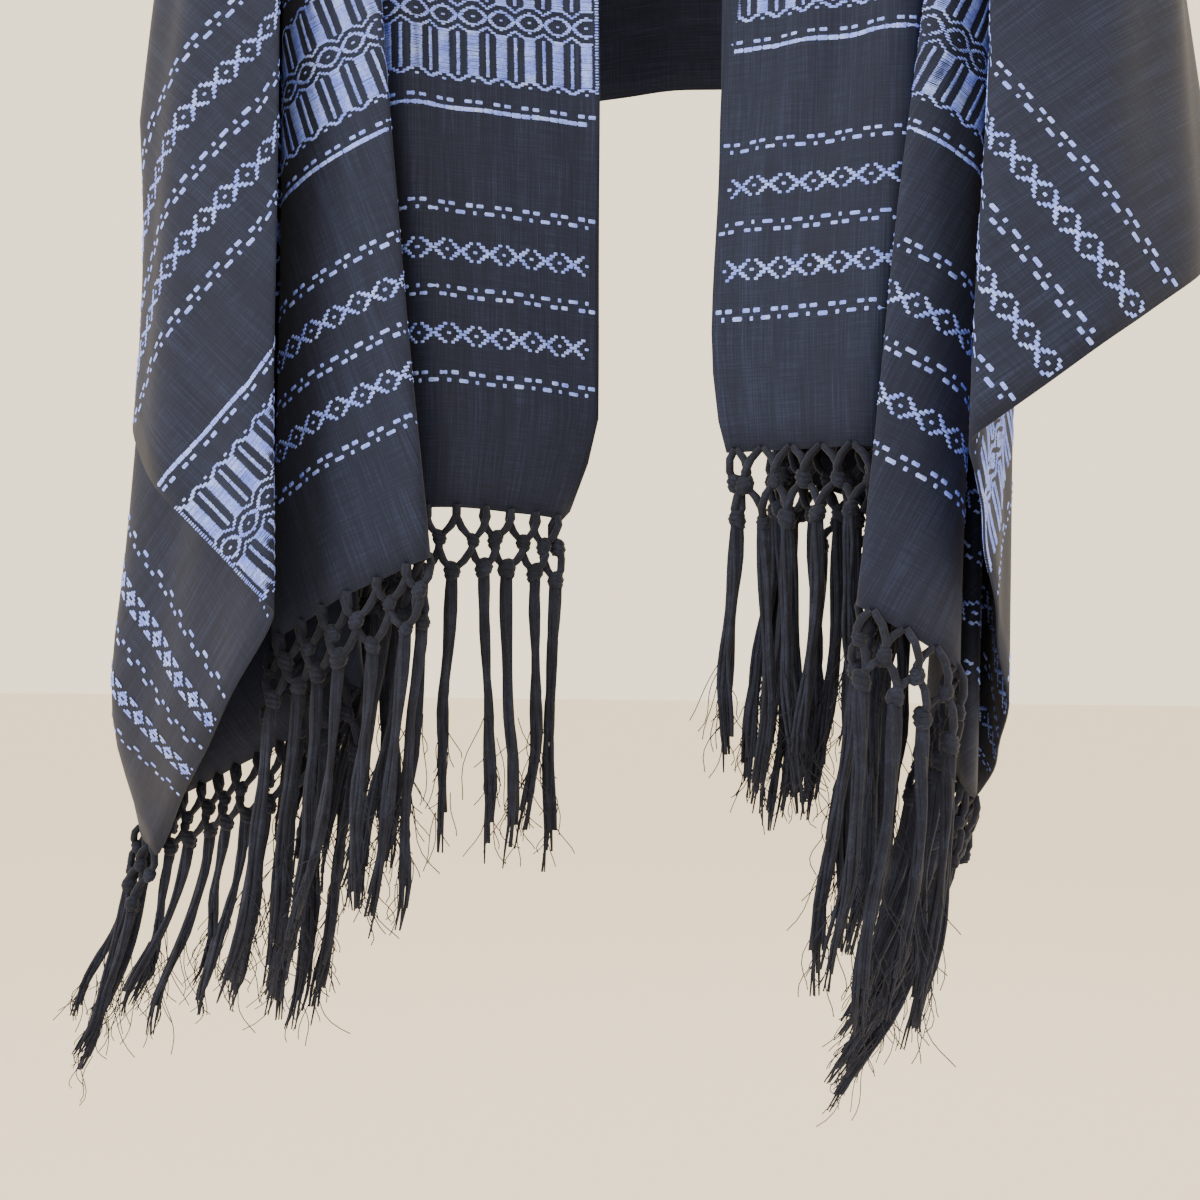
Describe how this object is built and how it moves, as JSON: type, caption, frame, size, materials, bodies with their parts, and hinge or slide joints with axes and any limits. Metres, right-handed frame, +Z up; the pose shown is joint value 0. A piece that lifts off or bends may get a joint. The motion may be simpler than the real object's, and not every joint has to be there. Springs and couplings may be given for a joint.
{
  "type": "rebozo shawl on a hanger",
  "caption": "Woven shawl with brocaded ends and knotted fringe, draped in pleats over a plain bar hanger and held by the hanger's hook.",
  "frame": {"origin": "inside top of the hook, where it bears on the peg that holds it", "axes": "+Z up, +X towards the shawl's end on the viewer's right, +Y towards the wall behind it; the hanger bar lies along X"},
  "size_m": [0.5731, 0.2407, 1.3397],
  "materials": {
    "cloth": "matte woven cotton",
    "brocade_cloth": "matte woven cotton with blue brocade floats",
    "fringe": "knotted cotton threads",
    "hanger_wood": "satin varnish",
    "hook_steel": "satin wire"
  },
  "bodies": {
    "root": {"back_panel": "cloth", "over_bar": "cloth", "turned_top": "cloth", "left_shoulder": "cloth", "right_shoulder": "cloth", "left_inner_panel": "brocade_cloth", "left_pleat": "brocade_cloth", "left_under_layer": "brocade_cloth", "left_folded_layer": "brocade_cloth", "left_side_panel": "brocade_cloth", "left_back_fold": "brocade_cloth", "left_arm_panel": "brocade_cloth", "right_inner_panel": "brocade_cloth", "right_pleat": "brocade_cloth", "right_under_layer": "brocade_cloth", "right_folded_layer": "brocade_cloth", "right_side_panel": "brocade_cloth", "right_back_fold": "brocade_cloth", "right_arm_panel": "brocade_cloth", "left_fringe_inner": "fringe", "left_fringe_pleat": "fringe", "left_fringe_under": "fringe", "right_fringe_inner": "fringe", "right_fringe_pleat": "fringe", "right_fringe_under": "fringe", "hanger_bar": "hanger_wood", "hanger_yoke": "hanger_wood", "hanger_hook": "hook_steel", "hanger_stay_left": "hook_steel", "hanger_stay_right": "hook_steel"}
  },
  "joints": []
}
